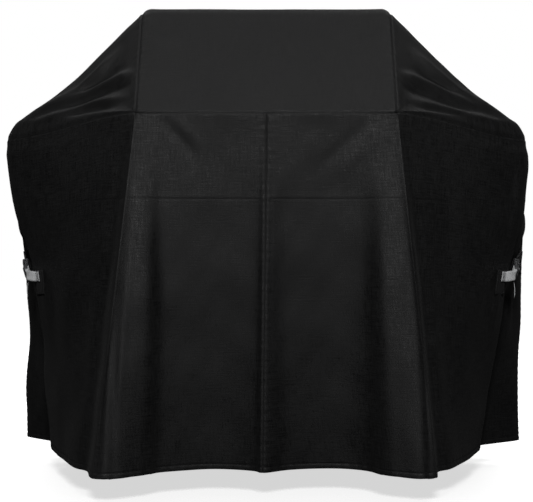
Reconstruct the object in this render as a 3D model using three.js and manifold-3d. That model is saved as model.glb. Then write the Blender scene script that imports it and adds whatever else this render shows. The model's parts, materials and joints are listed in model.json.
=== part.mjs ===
// Grill cover: a sewn cloth cover as it hangs over a cart grill with two side shelves.
// A flat-topped hood sits over the lid, a shoulder runs down to each shelf end, and a flared skirt
// hangs from the waist seam to the hem. A side-release buckle on each side gathers the skirt.
// Millimetres, +Z up, front towards -Y. Cloth is drawn CLOTH thick so that it has a solid.
import * as THREE from "three";
import { mergeVertices } from "three/addons/utils/BufferGeometryUtils.js";
import Module from "manifold-3d";

// ---- Driving dimensions. Depths run back from the front waist seam, heights up from the hem. ----
const HEIGHT = 1070;
const WAIST_HEIGHT = 805;
const HOOD_HALF = 295; // half the width of the hood over the lid
const LID_FRONT = 131; // depth of the lid's top front edge
const LID_BACK = 350;
const BACK = 480;
const LID_ROUND = 24; // how far the hood's two long top edges are rounded
const HOOD_EDGE_ROUND = 23; // width of the rounded strip beside each hood seam
const HOOD_EDGE_DROP = 12;
const SHELF_HALF = 632; // half the width over the shelf ends
const SHELF_FRONT = 188; // depth of a shelf end's front corner
const SHELF_BACK = 440;
const SHELF_SEAM_DROP = 42; // how far the waist seam dips from the hood corner to the shelf end
const SHELF_LIP = 30; // how far the shoulder rolls down over the shelf's edge
const SHOULDER_SAG = 18;
const CINCH = { depth: 15, drop: 0.41, high: 0.16, wide: 1.5 }; // where each strap draws its side fold in

const CLOTH = 2;
const TAPE = 1.2;
const SEAM_INSET = 1.2; // a panel stops this far from a seam where the cloth turns a corner
const PANEL_GAP = 0.4; // and this far from a seam that runs straight on
const TAPE_WIDTH = 12;
const TAPE_STAND = 1.2; // between the cloth's back and the tape or hem fold behind it
const HEM_WIDTH = 22;

const WEBBING = 25;
const WEBBING_THICK = 1.6;
const BUCKLE_HEIGHT = 473; // of the buckle's middle above the hem
const BUCKLE_STAND = 15; // its middle stands this far out from the side fold
const BUCKLE_BACK = 12; // and this far behind it
const BUCKLE_YAW = THREE.MathUtils.degToRad(12); // the strap's line spreads outwards to the rear
const BUCKLE_PITCH = THREE.MathUtils.degToRad(22); // and rises to the rear
const BUCKLE_TILT = THREE.MathUtils.degToRad(15); // the buckle's top edge leans out
const PLUG = { length: 28, width: 30, thick: 10, bar: 3, slot: 5, tongue: 20 };
const SOCKET = { length: 32, width: 34, thick: 12, mouth: 22, wall: 1.6, bar: 3.5, slot: 3.5 };
const ARM = { length: 21, thick: 3, depth: 5, middle: 10, head: 16.6, pivot: 1.4 };
const FRONT_ANCHOR = { back: -38, height: 455 }; // where each webbing is sewn down, from the side fold
const REAR_ANCHOR = { back: 150, height: 508 };
const SEWN = 16; // length of webbing that is stitched flat
const PATCH = { width: 38, above: 16, below: 48, stand: 2.2 };
const TAIL_LENGTH = 44;
const TAIL_GAP = 8; // between the plug's lower edge and the tail's hinge
const FREE = 0.4; // running gap between pieces that move against each other

// ---- Materials ----
const cloth = (shade) =>
  new THREE.MeshStandardMaterial({ color: shade, roughness: 0.85, metalness: 0 });
const BLACK_CLOTH = 0x202021;
const BLACK_TAPE = 0x161617;
const BLACK_WEBBING = 0x121213;
const GREY_WEBBING = 0xb9bcbd;
const BUCKLE_PLASTIC = 0x4b4c4e;

// ---- The waist line, seen from above: from the front centre round by the left ----
function roundedOutline(corners, round) {
  const path = new THREE.Path();
  const last = corners.length - 1;
  path.moveTo(...corners[0]);
  for (let i = 1; i < last; i++) {
    const corner = new THREE.Vector2(...corners[i]);
    const before = new THREE.Vector2(...corners[i - 1]).sub(corner).setLength(round[i]).add(corner);
    const after = new THREE.Vector2(...corners[i + 1]).sub(corner).setLength(round[i]).add(corner);
    path.lineTo(before.x, before.y);
    path.quadraticCurveTo(corner.x, corner.y, after.x, after.y);
  }
  path.lineTo(...corners[last]);
  return path;
}

const waistCorners = [
  [0, 0],
  [HOOD_HALF, 0],
  [SHELF_HALF, SHELF_FRONT],
  [SHELF_HALF + 4, SHELF_BACK],
  [HOOD_HALF, BACK],
  [0, BACK],
];
const waistHalf = roundedOutline(waistCorners, [0, 14, 34, 34, 14, 0]);
const HALF_WAIST = waistHalf.getLength();
const run = (a, b) => Math.hypot(b[0] - a[0], b[1] - a[1]);
const HOOD_CORNER = HOOD_HALF; // distances along the waist seam from the front centre
const SHELF_CORNER = HOOD_CORNER + run(waistCorners[1], waistCorners[2]) - 10;
const SHELF_REAR = SHELF_CORNER + run(waistCorners[2], waistCorners[3]) - 10;
const HOOD_REAR = SHELF_REAR + run(waistCorners[3], waistCorners[4]);
const { smoothstep, lerp, clamp } = THREE.MathUtils;

// A point of the waist seam. Positive distances run round by the left, negative by the right.
function waistPoint(distance) {
  const far = clamp(Math.abs(distance) / HALF_WAIST, 0, 1);
  const plan = waistHalf.getPointAt(far);
  const along = far * HALF_WAIST;
  const dip = smoothstep(along, HOOD_CORNER, SHELF_CORNER) - smoothstep(along, SHELF_REAR, HOOD_REAR);
  const left = distance > 0 ? -1 : 1;
  return new THREE.Vector3(left * plan.x, plan.y, WAIST_HEIGHT - SHELF_SEAM_DROP * dip);
}

// ---- The hem's outline, with the waist distance that each of its points hangs from ----
const station = (waist, x, y) => new THREE.Vector3(x, y, waist);
const leftHem = [
  station(18, -26, -14),
  station(98, -114, 10),
  station(196, -222, -20),
  station(228, -262, -36),
  station(250, -289, -70),
  station(270, -317, -97),
  station(284, -349, -106),
  station(HOOD_CORNER, -376, -98), // front corner fold
  station(318, -404, -14),
  station(352, -433, 19),
  station(470, -483, 133),
  station(548, -508, 190),
  station(SHELF_CORNER, -543, 308), // side fold below the buckle
  station(SHELF_CORNER + 58, -533, 352),
  station(SHELF_REAR, -637, 468), // rear corner
  station(SHELF_REAR + 130, -545, 482),
  station(HOOD_REAR, -330, 466),
  station(HOOD_REAR + 150, -170, 484),
];
const rightHem = [
  station(-46, 53, 0),
  station(-140, 165, 15),
  station(-200, 230, -14),
  station(-250, 288, -78),
  station(-276, 328, -101),
  station(-HOOD_CORNER, 368, -90), // front corner fold
  station(-314, 384, -22),
  station(-346, 410, 4),
  station(-425, 447, 70),
  station(-510, 487, 146),
  station(-600, 517, 222),
  station(-SHELF_CORNER, 531, 268), // side fold below the buckle
  station(-SHELF_CORNER - 50, 530, 312),
  station(-SHELF_REAR, 660, 412), // rear corner
  station(-SHELF_REAR - 130, 566, 470),
  station(-HOOD_REAR, 330, 484),
  station(-HOOD_REAR - 150, 170, 468),
];
const frontCentre = station(0, -9, -34);
const rearLeft = station(HALF_WAIST, -1, 478);
const rearRight = station(-HALF_WAIST, 1, 478);
const hemStations = [rearRight, ...rightHem.toReversed(), frontCentre, ...leftHem, rearLeft];
const hemCurve = new THREE.CatmullRomCurve3(hemStations, false, "centripetal");
const LEFT_BACK = leftHem.length + 1; // stations from the front centre to the rear centre seam
const RIGHT_BACK = -rightHem.length - 1;

// How far each side stands out, as rises and dips of the drop: size, middle and half width.
const SIDE_SWELL = {
  left: [[5, 0.22, 0.18], [-13, 0.65, 0.11]],
  right: [[26, 0.36, 0.27]],
};
const SIDE_FOLD = { left: 13, right: -12 }; // stations of the side folds that the straps draw in
const bell = (value, middle, halfWidth) => Math.exp(-(((value - middle) / halfWidth) ** 2));

function sideSwell(place, drop) {
  const word = place > 0 ? "left" : "right";
  const swell = SIDE_SWELL[word].reduce((sum, [size, ...where]) => sum + size * bell(drop, ...where), 0);
  const drawn = bell(drop, CINCH.drop, CINCH.high) * bell(place, SIDE_FOLD[word], CINCH.wide);
  return smoothstep(drop, 0, 0.1) * (swell - CINCH.depth * drawn);
}

// A point of the skirt: place counts stations from the front centre, left positive; drop is 0 to 1.
function skirtPoint(place, drop) {
  const share = (place - RIGHT_BACK) / (LEFT_BACK - RIGHT_BACK);
  const hem = hemCurve.getPoint(clamp(share, 0, 1));
  const waist = waistPoint(hem.z);
  const point = waist.lerp(new THREE.Vector3(hem.x, hem.y, 0), drop);
  point.x += Math.sign(point.x) * smoothstep(Math.abs(point.x), 400, 560) * sideSwell(place, drop);
  return point;
}

// ---- The hood's side profile and the shoulders ----
function hoodProfile() {
  const path = new THREE.Path();
  const front = new THREE.Vector2(LID_FRONT, HEIGHT);
  const back = new THREE.Vector2(LID_BACK, HEIGHT);
  const frontFoot = new THREE.Vector2(0, WAIST_HEIGHT);
  const backFoot = new THREE.Vector2(BACK, WAIST_HEIGHT);
  const below = (corner, foot) => foot.clone().sub(corner).setLength(LID_ROUND).add(corner);
  const start = below(front, frontFoot);
  const end = below(back, backFoot);
  path.moveTo(frontFoot.x, frontFoot.y);
  path.lineTo(start.x, start.y);
  path.quadraticCurveTo(front.x, front.y, LID_FRONT + LID_ROUND, HEIGHT);
  path.lineTo(LID_BACK - LID_ROUND, HEIGHT);
  path.quadraticCurveTo(back.x, back.y, end.x, end.y);
  path.lineTo(backFoot.x, backFoot.y);
  return path;
}
const profile = hoodProfile();

function hoodPoint(x, share) {
  const onProfile = profile.getPointAt(clamp(share, 0, 1));
  const over = clamp((Math.abs(x) - HOOD_HALF + HOOD_EDGE_ROUND) / HOOD_EDGE_ROUND, 0, 1);
  const high = smoothstep(onProfile.y, WAIST_HEIGHT, HEIGHT);
  return new THREE.Vector3(x, onProfile.x, onProfile.y - HOOD_EDGE_DROP * high * over * over);
}

// side is -1 for the left shoulder and 1 for the right; reach runs from hood seam to waist seam.
function shoulderPoint(side, share, reach) {
  const inner = hoodPoint(side * HOOD_HALF, share);
  const outer = waistPoint(-side * lerp(HOOD_CORNER, HOOD_REAR, share));
  const bow = Math.sin(Math.PI * share);
  const point = inner.clone().lerp(outer, reach);
  const edge = clamp((reach - 0.92) / 0.08, 0, 1);
  point.z += SHELF_LIP * bow * (reach - edge * edge);
  point.z -= SHOULDER_SAG * bow * Math.sin(Math.PI * clamp(reach, 0, 1) ** 1.3);
  return point;
}

// ---- Bending a plain box into a thin sheet that lies along a surface ----
function outward(surface, u, v) {
  const step = 0.002;
  const alongU = surface(u + step, v).sub(surface(u - step, v));
  const alongV = surface(u, v + step).sub(surface(u, v - step));
  return alongU.cross(alongV).normalize();
}

// A box's back face is split along the other diagonals; this splits it along the front's, so that
// the two walls of a twisted sheet stay parallel.
function matchDiagonals(geometry) {
  const index = geometry.index;
  const { start, count } = geometry.groups.at(-1);
  for (let first = start; first < start + count; first += 6) {
    const [a, b, d, , c] = index.array.slice(first, first + 6);
    [a, b, c, a, c, d].forEach((corner, i) => index.setX(first + i, corner));
  }
}

// surface(u, v) with u and v from 0 to 1; the sheet fills depths from near to far below it.
function bentSheet(surface, columns, rows, near, far) {
  const geometry = new THREE.BoxGeometry(1, 1, 1, columns, rows, 1);
  matchDiagonals(geometry);
  const place = geometry.attributes.position;
  for (let i = 0; i < place.count; i++) {
    const u = place.getX(i) + 0.5;
    const v = place.getY(i) + 0.5;
    const depth = lerp(far, near, place.getZ(i) + 0.5);
    const point = surface(u, v).addScaledVector(outward(surface, u, v), -depth);
    place.setXYZ(i, point.x, point.y, point.z);
  }
  geometry.computeVertexNormals();
  return geometry;
}

// Turns shares 0 to 1 into the span from first to last, short of each end by a gap in millimetres.
function between(first, last, lengthOf, gap) {
  return (share) => {
    const short = gap / lengthOf;
    return lerp(first, last, clamp(share, -0.01, 1.01) * (1 - 2 * short) + short);
  };
}

const root = new THREE.Group();
const cover = new THREE.Group();
cover.position.set(0, -(LID_FRONT + LID_BACK) / 2, CLOTH - HEIGHT);
root.add(cover);

function add(parent, name, geometry, colour, roughness = 0.85) {
  const material = cloth(colour);
  material.roughness = roughness;
  const mesh = new THREE.Mesh(geometry, material);
  mesh.name = name;
  parent.add(mesh);
  return mesh;
}

// ---- Hood and shoulders ----
const profileLength = profile.getLength();
const acrossHood = between(-HOOD_HALF, HOOD_HALF, 2 * HOOD_HALF, SEAM_INSET);
const overHood = between(0, 1, profileLength, SEAM_INSET);
const hoodSurface = (u, v) => hoodPoint(acrossHood(u), overHood(v));
add(cover, "hood_panel", bentSheet(hoodSurface, 14, 20, 0, CLOTH), BLACK_CLOTH);

const TIP = 0.025; // each shoulder starts this share along the hood seam, where it has some width
for (const [word, side] of [["left", -1], ["right", 1]]) {
  const surface = (u, v) => {
    const along = side < 0 ? u : 1 - u;
    const share = lerp(TIP, 1 - TIP, along);
    const width = shoulderPoint(side, share, 0).distanceTo(shoulderPoint(side, share, 1));
    return shoulderPoint(side, share, between(0, 1, width, SEAM_INSET * 1.4)(v));
  };
  add(cover, `shoulder_${word}`, bentSheet(surface, 16, 12, 0, CLOTH), BLACK_CLOTH);

  // The bound seam allowance stands in from the hood seam, square to the hood.
  const alongSeam = (u) => hoodPoint(side * (HOOD_HALF - 2 * CLOTH), lerp(TIP, 1 - TIP, u));
  const allowance = (u, v) => {
    const forward = alongSeam(u + 0.01).sub(alongSeam(u - 0.01)).normalize();
    const inwards = new THREE.Vector3(0, forward.z, -forward.y).normalize();
    return alongSeam(u).addScaledVector(inwards, 3.5 * CLOTH + TAPE_WIDTH * v);
  };
  add(cover, `hood_seam_tape_${word}`, bentSheet(allowance, 20, 1, -TAPE / 2, TAPE / 2), BLACK_TAPE);
}

// ---- Skirt panels, the tape inside the waist seam, and the turned hem ----
// Rows of the skirt lie at these drops, so that tape and hem share the panels' rows.
const seamDrop = (0.5 * SEAM_INSET) / WAIST_HEIGHT;
const tapeDrop = (3 + TAPE_WIDTH) / WAIST_HEIGHT;
const hemDrop = 1 - HEM_WIDTH / WAIST_HEIGHT;
const SKIRT_ROWS = 11;
const inner = Array.from({ length: SKIRT_ROWS + 1 }, (_, i) => lerp(tapeDrop, hemDrop, i / SKIRT_ROWS));
const drops = [1, ...inner.toReversed(), seamDrop]; // from the hem up

function dropAt(rows, share) {
  const place = clamp(share, 0, 1) * (rows.length - 1);
  const row = Math.min(Math.floor(place), rows.length - 2);
  return lerp(rows[row], rows[row + 1], share * (rows.length - 1) - row);
}

// A skirt sheet from station first to station last, short of both upright edges by gap.
function skirtSheet(first, last, rows, gap) {
  const way = Math.sign(last - first);
  const step = 0.01;
  return (u, v) => {
    const drop = dropAt(rows, v);
    const cut = (place, toward) => {
      const speed = skirtPoint(place, drop).distanceTo(skirtPoint(place + toward * step, drop)) / step;
      return place + (toward * gap) / speed;
    };
    const place = lerp(first, last, u);
    const start = cut(first, way);
    const end = cut(last, -way);
    if (u <= 0) return skirtPoint(start + way * u, drop);
    if (u >= 1) return skirtPoint(end + way * (u - 1), drop);
    return skirtPoint(clamp(place, Math.min(start, end), Math.max(start, end)), drop);
  };
}

const LEFT_CORNER = 8; // stations of the corner folds and rear corners
const LEFT_REAR = 15;
const RIGHT_CORNER = -6;
const RIGHT_REAR = -14;
const skirtPanels = [
  ["skirt_front_left", LEFT_CORNER, 0],
  ["skirt_front_right", 0, RIGHT_CORNER],
  ["skirt_side_left", LEFT_REAR, LEFT_CORNER],
  ["skirt_side_right", RIGHT_CORNER, RIGHT_REAR],
  ["skirt_back_left", LEFT_BACK, LEFT_REAR],
  ["skirt_back_right", RIGHT_REAR, RIGHT_BACK],
];
for (const [name, first, last] of skirtPanels) {
  const columns = 2 * Math.abs(last - first);
  const surface = skirtSheet(first, last, drops, PANEL_GAP);
  add(cover, name, bentSheet(surface, columns, drops.length - 1, 0, CLOTH), BLACK_CLOTH);
}

const underCloth = CLOTH + TAPE_STAND;
const waistRows = [tapeDrop, seamDrop + 3 / WAIST_HEIGHT];
const hemRows = [1, hemDrop];
for (const [word, first, last] of [["left", LEFT_BACK, 0], ["right", 0, RIGHT_BACK]]) {
  const columns = 2 * Math.abs(last - first);
  const tape = bentSheet(skirtSheet(first, last, waistRows, 3), columns, 1, underCloth, underCloth + TAPE);
  add(cover, `waist_tape_${word}`, tape, BLACK_TAPE);
  const fold = bentSheet(skirtSheet(first, last, hemRows, 3), columns, 1, underCloth, underCloth + TAPE);
  add(cover, `hem_fold_${word}`, fold, BLACK_TAPE);
}

// ---- Joining and cutting ----
const wasm = await Module();
wasm.setup();

function solid(geometry) {
  const bare = geometry.clone();
  bare.deleteAttribute("normal");
  bare.deleteAttribute("uv");
  const merged = mergeVertices(bare, 1e-4);
  return new wasm.Manifold(
    new wasm.Mesh({
      numProp: 3,
      vertProperties: merged.attributes.position.array,
      triVerts: new Uint32Array(merged.index.array),
    }),
  );
}

function geometryOf(made) {
  const mesh = made.getMesh();
  const geometry = new THREE.BufferGeometry();
  geometry.setAttribute("position", new THREE.BufferAttribute(mesh.vertProperties, 3));
  geometry.setIndex(new THREE.BufferAttribute(mesh.triVerts, 1));
  const flat = geometry.toNonIndexed();
  flat.computeVertexNormals();
  return flat;
}

// A box given by its lowest and highest corners.
function block(low, high) {
  const size = high.map((value, i) => value - low[i]);
  const middle = high.map((value, i) => (value + low[i]) / 2);
  return new THREE.BoxGeometry(...size).translate(...middle);
}

// A plate lying in x and y with rounded corners, thick about z = 0.
function plate(left, right, width, thick, round) {
  const shape = new THREE.Shape();
  const top = width / 2;
  shape.moveTo(left + round, -top);
  shape.lineTo(right - round, -top);
  shape.absarc(right - round, -top + round, round, -Math.PI / 2, 0);
  shape.lineTo(right, top - round);
  shape.absarc(right - round, top - round, round, 0, Math.PI / 2);
  shape.lineTo(left + round, top);
  shape.absarc(left + round, top - round, round, Math.PI / 2, Math.PI);
  shape.lineTo(left, -top + round);
  shape.absarc(left + round, -top + round, round, Math.PI, 1.5 * Math.PI);
  const options = { depth: thick, bevelEnabled: false, curveSegments: 4 };
  return new THREE.ExtrudeGeometry(shape, options).translate(0, 0, -thick / 2);
}

// ---- The side-release buckle: x runs back along the strap, y up across it, z out from the cover ----
function plugGeometry() {
  const { length, width, thick, bar, slot, tongue } = PLUG;
  const through = (from) => solid(block([from, -WEBBING / 2 - 0.5, -thick], [from + slot, WEBBING / 2 + 0.5, thick]));
  const body = solid(plate(-length, 0, width, thick, 3))
    .subtract(through(-length + bar))
    .subtract(through(-length + 2 * bar + slot + 1));
  return geometryOf(body.add(solid(block([-1, -3.5, -2], [tongue, 3.5, 2]))));
}

function socketGeometry() {
  const { length, width, thick, mouth, wall, bar, slot } = SOCKET;
  const end = FREE + length;
  const hollow = block([-1, -width / 2 + wall, -thick / 2 + wall], [mouth, width / 2 - wall, thick / 2 - wall]);
  const sides = block([-1, -width, -ARM.depth / 2 - 0.7], [mouth - 2, width, ARM.depth / 2 + 0.7]);
  const webSlot = block([end - bar - slot, -WEBBING / 2 - 0.5, -thick], [end - bar, WEBBING / 2 + 0.5, thick]);
  const body = solid(plate(FREE, end, width, thick, 4));
  return geometryOf(body.subtract(solid(hollow)).subtract(solid(sides)).subtract(solid(webSlot)));
}

// way is 1 for the upper arm and -1 for the lower; the hook stands out past the plug's edge.
function armGeometry(way) {
  const { length, thick, depth, middle, head } = ARM;
  const outline = [
    [FREE, middle - thick / 2],
    [length, middle - thick / 2 + 0.5],
    [length, middle + thick / 2 + 0.8],
    [length - 6, head],
    [length - 7.5, head],
    [length - 9, middle + thick / 2 + 1],
    [FREE, middle + thick / 2],
  ];
  const points = outline.map(([x, y]) => new THREE.Vector2(x - ARM.pivot, way * (y - middle)));
  const options = { depth, bevelEnabled: false };
  return new THREE.ExtrudeGeometry(new THREE.Shape(points), options).translate(0, 0, -depth / 2);
}

// ---- One strap set: patches, webbings, buckle and hanging tail ----
const dropOf = (height) => (WAIST_HEIGHT - height) / WAIST_HEIGHT;

// The skirt's station that lies a distance behind a side fold, measured along the cloth.
function stationBehind(side, distance, height) {
  const way = -side * Math.sign(distance);
  const step = 0.02;
  let place = side < 0 ? SIDE_FOLD.left : SIDE_FOLD.right;
  let left = Math.abs(distance);
  let here = skirtPoint(place, dropOf(height));
  while (left > 0) {
    const next = skirtPoint(place + way * step, dropOf(height));
    const gone = here.distanceTo(next);
    place += way * step * Math.min(1, left / gone);
    left -= gone;
    here = next;
  }
  return place;
}
const besideFold = (side, distance, height) =>
  skirtPoint(stationBehind(side, distance, height), dropOf(height));

// A piece of the skirt's surface round an anchor, width across and from below to above in height.
function anchorSurface(side, anchor, width, below, above) {
  return (u, v) => {
    const share = (side < 0 ? 1 - u : u) - 0.5;
    return besideFold(side, anchor.back + width * share, anchor.height + lerp(-below, above, v));
  };
}

// A flat strip of webbing along a curve; the strip's width turns from one direction to another.
function webbingStrip(points, widthStart, widthEnd, columns) {
  const line = new THREE.CatmullRomCurve3(points, false, "centripetal");
  const surface = (u, v) => {
    const share = clamp(u, 0, 1);
    const along = line.getTangentAt(share);
    const width = widthStart.clone().lerp(widthEnd, smoothstep(share, 0.2, 1));
    width.addScaledVector(along, -width.dot(along)).normalize();
    const point = line.getPointAt(share).addScaledVector(along, (u - share) * line.getLength());
    return point.addScaledVector(width, (v - 0.5) * WEBBING);
  };
  return bentSheet(surface, columns, 1, -WEBBING_THICK / 2, WEBBING_THICK / 2);
}

for (const [word, side] of [["left", -1], ["right", 1]]) {
  const name = (piece) => `${piece}_${word}`;
  const fold = besideFold(side, 0, BUCKLE_HEIGHT);

  // The strap's own frame at the side fold: x back along the strap, y up, z outwards.
  const mirrored = new THREE.Group();
  mirrored.scale.x = side;
  cover.add(mirrored);
  const strap = new THREE.Group();
  strap.position.set(Math.abs(fold.x), fold.y, fold.z);
  const back = new THREE.Vector3(Math.sin(BUCKLE_YAW), Math.cos(BUCKLE_YAW), 0);
  const up = new THREE.Vector3(0, 0, 1);
  strap.quaternion.setFromRotationMatrix(
    new THREE.Matrix4().makeBasis(back, up, back.clone().cross(up)),
  );
  mirrored.add(strap);
  const buckle = new THREE.Group();
  buckle.position.set(BUCKLE_BACK, 0, BUCKLE_STAND);
  buckle.rotation.set(BUCKLE_TILT, 0, BUCKLE_PITCH, "ZYX");
  strap.add(buckle);

  add(buckle, name("buckle_plug"), plugGeometry(), BUCKLE_PLASTIC, 0.45);
  add(buckle, name("buckle_socket"), socketGeometry(), BUCKLE_PLASTIC, 0.45);
  for (const [place, way] of [["upper", 1], ["lower", -1]]) {
    const arm = add(buckle, name(`buckle_arm_${place}`), armGeometry(way), BUCKLE_PLASTIC, 0.45);
    arm.position.set(ARM.pivot, way * ARM.middle, 0);
  }

  // The tail hangs straight down from under the plug.
  const tail = block([-WEBBING / 2, -TAIL_LENGTH, -WEBBING_THICK / 2], [WEBBING / 2, 0, WEBBING_THICK / 2]);
  const tailMesh = add(strap, name("strap_tail"), tail, GREY_WEBBING);
  root.updateMatrixWorld(true);
  const tailTop = buckle.localToWorld(new THREE.Vector3(-14, -PLUG.width / 2, 0));
  tailMesh.position.copy(strap.worldToLocal(tailTop)).add(new THREE.Vector3(0, -TAIL_GAP, 0));

  for (const [piece, anchor] of [["strap_patch_front", FRONT_ANCHOR], ["strap_patch_rear", REAR_ANCHOR]]) {
    const surface = anchorSurface(side, anchor, PATCH.width, PATCH.below, PATCH.above);
    add(cover, name(piece), bentSheet(surface, 4, 6, -PATCH.stand - TAPE, -PATCH.stand), BLACK_TAPE);
  }

  // Each webbing lies flat on its patch for the sewn length and then runs up to its buckle half.
  const inCover = (x, y, z) => cover.worldToLocal(buckle.localToWorld(new THREE.Vector3(x, y, z)));
  const buckleUp = inCover(0, 1, 0).sub(inCover(0, 0, 0));
  const runs = [
    ["webbing_front", FRONT_ANCHOR, -1, -PLUG.length - FREE, GREY_WEBBING],
    ["webbing_rear", REAR_ANCHOR, 1, SOCKET.length + 2 * FREE, BLACK_WEBBING],
  ];
  for (const [piece, anchor, way, end, colour] of runs) {
    const onPatch = (beyond) => {
      const spot = { back: anchor.back + beyond, height: anchor.height };
      const surface = anchorSurface(side, spot, 10, 10, 10);
      const lift = PATCH.stand + TAPE + TAPE_STAND + WEBBING_THICK / 2;
      return surface(0.5, 0.5).addScaledVector(outward(surface, 0.5, 0.5), lift);
    };
    const patch = anchorSurface(side, anchor, 10, 10, 10);
    const patchUp = patch(0.5, 1).sub(patch(0.5, 0)).normalize();
    const points = [
      onPatch((way * SEWN) / 2),
      onPatch((-way * SEWN) / 2),
      inCover(end + way * 7, 0, 0),
      inCover(end, 0, 0),
    ];
    add(cover, name(piece), webbingStrip(points, patchUp, buckleUp, 14), colour);
  }
}

export default root;
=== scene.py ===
"""Grill cover of black woven cloth: hood, shoulders, flared skirt, seams, hem and side buckles.

Metres, +Z up, front towards -Y. The cloth hangs as it does over a cart grill with two side shelves.
"""
import json
import math

import bmesh
import bpy
import numpy as np
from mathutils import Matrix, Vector


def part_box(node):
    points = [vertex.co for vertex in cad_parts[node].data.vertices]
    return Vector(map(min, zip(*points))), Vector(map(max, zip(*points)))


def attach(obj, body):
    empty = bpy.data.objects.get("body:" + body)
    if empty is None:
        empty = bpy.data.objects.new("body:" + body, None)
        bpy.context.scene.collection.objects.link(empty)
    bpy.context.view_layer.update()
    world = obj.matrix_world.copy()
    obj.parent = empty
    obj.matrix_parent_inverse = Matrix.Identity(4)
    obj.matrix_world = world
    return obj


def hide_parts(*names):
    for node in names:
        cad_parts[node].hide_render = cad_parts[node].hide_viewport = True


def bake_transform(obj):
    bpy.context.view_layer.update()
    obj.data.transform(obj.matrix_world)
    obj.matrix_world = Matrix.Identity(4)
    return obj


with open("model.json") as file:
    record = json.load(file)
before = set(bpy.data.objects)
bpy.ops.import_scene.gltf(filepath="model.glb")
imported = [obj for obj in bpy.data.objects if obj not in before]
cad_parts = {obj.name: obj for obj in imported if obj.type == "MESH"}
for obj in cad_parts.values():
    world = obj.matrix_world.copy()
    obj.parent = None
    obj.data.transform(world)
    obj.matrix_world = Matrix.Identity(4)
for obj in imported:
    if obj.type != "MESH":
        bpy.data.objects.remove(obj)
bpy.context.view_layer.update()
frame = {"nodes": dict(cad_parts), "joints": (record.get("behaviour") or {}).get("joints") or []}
MM = 0.001

# ---- Sizes, from the frame and from how the cover is cut ----
hood_low, hood_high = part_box("hood_panel")
TOP = hood_high.z
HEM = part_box("skirt_front_left")[0].z
FRONT = hood_low.y  # depth of the front waist seam
WAIST = TOP - 265 * MM
DROP = WAIST - HEM  # waist seam to hem, at the front
HOOD_HALF = hood_high.x + 1 * MM
LID_FRONT = FRONT + 131 * MM
LID_BACK = FRONT + 350 * MM
BACK = FRONT + 480 * MM
LID_ROUND = 24 * MM
HOOD_EDGE_ROUND = 23 * MM
HOOD_EDGE_DROP = 12 * MM
SHELF_HALF = 632 * MM
SHELF_FRONT = FRONT + 188 * MM
SHELF_BACK = FRONT + 440 * MM
SHELF_SEAM_DROP = 42 * MM
SHELF_LIP = 30 * MM
SHOULDER_SAG = 18 * MM
CINCH_DEPTH = 15 * MM  # how far each strap draws its side fold in
CINCH_DROP = 0.41
CLOTH = 0.8 * MM
TAPE_WIDTH = 12 * MM
HEM_WIDTH = 22 * MM
HEM_STITCH = 12 * MM  # height of the hem's stitching above the edge
PRESS_LINE = 610 * MM  # height of the crease left by folding the cover for its carton
WEBBING = 25 * MM
WEBBING_THICK = 1.5 * MM
FLOOR = HEM - 59 * MM

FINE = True
GRID = 5 * MM if FINE else 8 * MM  # spacing of the cloth's mesh


# ---- Small number helpers ----
def smoothstep(x, low, high):
    t = np.clip((np.asarray(x, float) - low) / (high - low), 0, 1)
    return t * t * (3 - 2 * t)


def bell(x, middle, half_width):
    return np.exp(-(((x - middle) / half_width) ** 2))


def unit(v):
    return v / np.maximum(np.linalg.norm(v, axis=-1, keepdims=True), 1e-12)


def distance_along(line):
    """How far along a line each of its points is."""
    return np.concatenate([[0], np.cumsum(np.linalg.norm(np.diff(line, axis=0), axis=1))])


def stack(*parts):
    return np.stack(np.broadcast_arrays(*parts), axis=-1)


# ---- Outlines ----
def rounded_run(corners, rounds, steps=24):
    """Points along straight runs whose corners are rounded, with the distance to each."""
    corners = [np.array(c, float) for c in corners]
    points = [corners[0]]
    for before, corner, after, size in zip(corners, corners[1:], corners[2:], rounds):
        a = corner + unit(before - corner) * size
        b = corner + unit(after - corner) * size
        t = np.linspace(0, 1, steps)[:, None]
        points.extend((1 - t) ** 2 * a + 2 * t * (1 - t) * corner + t * t * b)
    points.append(corners[-1])
    points = np.array(points)
    far = distance_along(points)
    return points, far


waist_plan, waist_far = rounded_run(
    [(0, FRONT), (HOOD_HALF, FRONT), (SHELF_HALF, SHELF_FRONT), (SHELF_HALF + 4 * MM, SHELF_BACK),
     (HOOD_HALF, BACK), (0, BACK)],
    [14 * MM, 34 * MM, 34 * MM, 14 * MM])
HALF_WAIST = waist_far[-1]
HOOD_CORNER = HOOD_HALF
SHELF_CORNER = HOOD_CORNER + math.hypot(SHELF_HALF - HOOD_HALF, SHELF_FRONT - FRONT) - 10 * MM
SHELF_REAR = SHELF_CORNER + math.hypot(4 * MM, SHELF_BACK - SHELF_FRONT) - 10 * MM
HOOD_REAR = SHELF_REAR + math.hypot(SHELF_HALF + 4 * MM - HOOD_HALF, BACK - SHELF_BACK)


def waist_point(distance):
    """A point of the waist seam; positive distances run round by the left, negative by the right."""
    distance = np.asarray(distance, float)
    along = np.clip(np.abs(distance), 0, HALF_WAIST)
    x = np.interp(along, waist_far, waist_plan[:, 0])
    y = np.interp(along, waist_far, waist_plan[:, 1])
    dip = smoothstep(along, HOOD_CORNER, SHELF_CORNER) - smoothstep(along, SHELF_REAR, HOOD_REAR)
    return stack(np.where(distance > 0, -x, x), y, WAIST - SHELF_SEAM_DROP * dip)


def station(waist, x, y):
    """A point of the hem, and the waist distance that it hangs from, both in millimetres."""
    return (x * MM, FRONT + y * MM, waist * MM)


def waist_station(waist, extra, x, y):
    return (x * MM, FRONT + y * MM, waist + extra * MM)


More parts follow.
